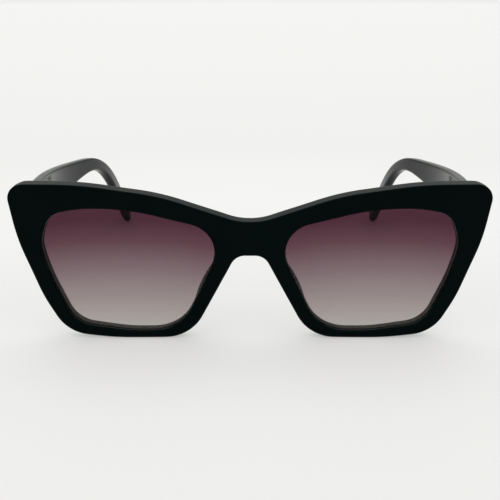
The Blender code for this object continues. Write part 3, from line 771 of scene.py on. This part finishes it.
def rounded_section(half, half_height, middle, edge, notch):
    """(across, drop) points of a rounded rectangle, outer side first, with a notch in the inner one."""
    points = []
    for corner, (x, y) in enumerate(((1, -1), (1, 1), (-1, 1), (-1, -1))):
        centre = (x * (half - edge), middle + y * (half_height - edge))
        for k in range(ROUND_STEPS + 1):
            angle = math.pi / 2 * (corner - 1 + k / ROUND_STEPS)
            arm = (edge * math.cos(angle), edge * math.sin(angle))
            points.append((centre[0] + arm[0], centre[1] + arm[1]))
        if corner == 2:
            depth, top, bottom = notch
            points += [(-half, bottom), (-half + depth, bottom - NOTCH_DRAFT)]
            points += [(-half + depth, top + NOTCH_DRAFT), (-half, top)]
    return points


def temple_section(at):
    """The section's points at this distance along the temple, shrinking into the rounded tip."""
    into_end = 1 - share_of_way(TEMPLE_LENGTH - at, 0.0, TIP_ROUND)
    shrink = TIP_LEAST + (1 - TIP_LEAST) * math.sqrt(1 - into_end**2)
    half, half_height = temple_thickness(at) / 2 * shrink, temple_height(at) / 2 * shrink
    middle = temple_height(at) / 2
    edge = TEMPLE_EDGE + (TEMPLE_EDGE_BACK - TEMPLE_EDGE) * smooth(at, CURVE_TO, DROP_TO)
    edge *= shrink
    centre = TEMPLE_TOP + (middle - TEMPLE_TOP) * smooth(at, TEMPLE_NOTCH_TO, NARROWS_FROM)
    if at <= TEMPLE_NOTCH_TO:
        depth, reach = TEMPLE_NOTCH_DEPTH, TEMPLE_NOTCH_HALF
    else:
        depth, reach = 0.0, min(TEMPLE_NOTCH_HALF, half_height - edge - NOTCH_LEAST_ROOM)
    return rounded_section(half, half_height, middle, edge, (depth, centre - reach, centre + reach))


def temple_frame(side):
    """The temple's own axes in the part: X outwards, Y back along it, Z up, from the hinge axis."""
    axes = Matrix((Vector((side, 0, 0)), BACK_FROM_FRONT, UP_THE_FRONT)).transposed().to_4x4()
    centre = on_front(HINGE_U * side, FRONT_THICKNESS + HINGE_BEHIND, HINGE_V)
    fall = Matrix.Rotation(-(TEMPLE_SLOPE + LEAN), 4, "X") @ Matrix.Rotation(-SPLAY, 4, "Z")
    return Matrix.Translation(centre) @ axes @ fall @ Matrix.Diagonal((MM, MM, MM, 1))


def butt_plane(side):
    """The plane just behind the front that the temple's end stops at: a point and the way back."""
    at = on_front(HINGE_U * side, FRONT_THICKNESS, HINGE_V)
    across = on_front((HINGE_U + 1) * side, FRONT_THICKNESS, HINGE_V) - at
    normal = across.normalized().cross(UP_THE_FRONT)
    if normal.y < 0:
        normal = -normal
    return at + normal * TEMPLE_BUTT_GAP * MM, normal


def temple_stations():
    """The distances along the temple where its sections stand, close together at the round tip."""
    notch_end = TEMPLE_NOTCH_TO
    stations = [FIRST_STATION, notch_end - NOTCH_LAST_BEFORE, notch_end, notch_end + NOTCH_STEP]
    even = TEMPLE_LENGTH - TIP_ROUND - EVEN_STATIONS_FROM
    count = round(even / TEMPLE_STEP)
    stations += [EVEN_STATIONS_FROM + even * k / count for k in range(count + 1)]
    for k in range(1, TIP_SECTIONS + 1):
        left = 1 - math.sin(math.pi / 2 * k / TIP_SECTIONS)
        stations.append(TEMPLE_LENGTH - TIP_ROUND * left)
    return stations


def build_temple(word, side, made_of):
    """A temple from its sections, cut off square just behind the front, with a small chamfer."""
    stations = temple_stations()
    to_part = temple_frame(side)
    rings = []
    for at, (across, back, up, down) in zip(stations, temple_datum(stations)):
        ring = []
        for out, below in temple_section(at):
            behind, above = back - below * math.sin(down), up - below * math.cos(down)
            ring.append(to_part @ Vector((across + out, behind, above)))
        rings.append(ring)
    point, normal = butt_plane(side)
    chamfer = BUTT_CHAMFER * MM
    run = (rings[1][0] - rings[0][0]).normalized()
    centre = sum(rings[0], Vector()) / len(rings[0])
    end, rim = [], []
    for spot in rings[0]:
        on_plane = spot + run * ((point - spot).dot(normal) / run.dot(normal))
        end.append(on_plane + (centre - spot).normalized() * chamfer)
        rim.append(on_plane + run * chamfer)
    bm = bmesh.new()
    rings = [[bm.verts.new(spot) for spot in ring] for ring in [end, rim, *rings]]
    bridge(bm, rings)
    bm.faces.new(rings[0])
    bm.faces.new(rings[-1])
    name, body = f"temple_polished_{word}", f"temple_{word}"
    return new_piece(name, bm, made_of, body, [f"temple_{word}"])


# ---------------------------------------------------------------- stage


def build_stage():
    """The table that the glasses stand on."""
    bm = bmesh.new()
    bmesh.ops.create_grid(bm, x_segments=FLOOR_CELLS, y_segments=FLOOR_CELLS, size=FLOOR_HALF)
    mesh = bpy.data.meshes.new("floor")
    bm.to_mesh(mesh)
    bm.free()
    mesh.materials.append(floor_with_painted_light())
    floor = bpy.data.objects.new("floor", mesh)
    floor.location.z = min(0.0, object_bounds()[0].z) - FLOOR_BELOW
    bpy.context.scene.collection.objects.link(floor)


def area_light(name, place, aim, size, watts):
    light = bpy.data.lights.new(name, "AREA")
    light.shape = "RECTANGLE"
    light.size, light.size_y = size
    light.energy = watts
    made = bpy.data.objects.new(name, light)
    made.location = place
    made.rotation_mode = "QUATERNION"
    made.rotation_quaternion = (Vector(place) - Vector(aim)).to_track_quat("Z", "Y")
    bpy.context.scene.collection.objects.link(made)


def build_light():
    """An even pale studio: a dome that is brighter overhead, and a soft box behind the glasses."""
    world = bpy.data.worlds.new("studio")
    world.use_nodes = True
    tree = world.node_tree
    sky = tree.nodes["Background"]
    place = tree.nodes.new("ShaderNodeTexCoord")
    apart = tree.nodes.new("ShaderNodeSeparateXYZ")
    tree.links.new(place.outputs["Generated"], apart.inputs["Vector"])
    tree.links.new(ramp(tree, apart.outputs["Z"], DOME_STOPS), sky.inputs["Color"])
    sky.inputs["Strength"].default_value = 1.0
    bpy.context.scene.world = world
    area_light("rear_softbox", SOFTBOX_PLACE, SOFTBOX_AIM, SOFTBOX_SIZE, SOFTBOX_WATTS)


def build_camera():
    data = bpy.data.cameras.new("camera")
    data.lens = CAMERA_LENS
    data.sensor_width = CAMERA_SENSOR
    data.clip_start = CAMERA_CLIP
    camera = bpy.data.objects.new("camera", data)
    camera.location = Vector((0.0, FRONT_FACE_Y - CAMERA_AWAY, CAMERA_HEIGHT)) * MM
    camera.rotation_euler = (math.pi / 2 - CAMERA_DOWN, 0.0, 0.0)
    bpy.context.scene.collection.objects.link(camera)
    bpy.context.scene.camera = camera


def paint_nodes(hinge_steel, wire_steel):
    """The hinges, screws and core wires are carried over from the frame with finer materials."""
    for name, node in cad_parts.items():
        made = hinge_steel if "hinge" in name or "screw" in name else wire_steel
        for slot in node.material_slots:
            slot.material = made


def main():
    black = acetate("polished_acetate", FRONT_IOR)
    temple_black = acetate("temple_acetate", TEMPLE_IOR)
    satin = acetate("satin_acetate", SATIN_IOR, rougher=SATIN_ROUGHER)
    tint, edge = lens_tint(), ground_edge()
    hinge_steel = steel("hinge_satin_steel", HINGE_COLOUR, HINGE_STRETCH)
    wire_steel = steel("wire_drawn_steel", WIRE_COLOUR, WIRE_STRETCH)
    paint_nodes(hinge_steel, wire_steel)
    build_front(black, satin)
    for word, side in SIDES:
        build_lens(word, side, tint, edge)
        build_pad(word, side, satin)
        build_temple(word, side, temple_black)
    build_camera()
    build_light()
    build_stage()
    bpy.context.scene.view_settings.view_transform = "Standard"


main()
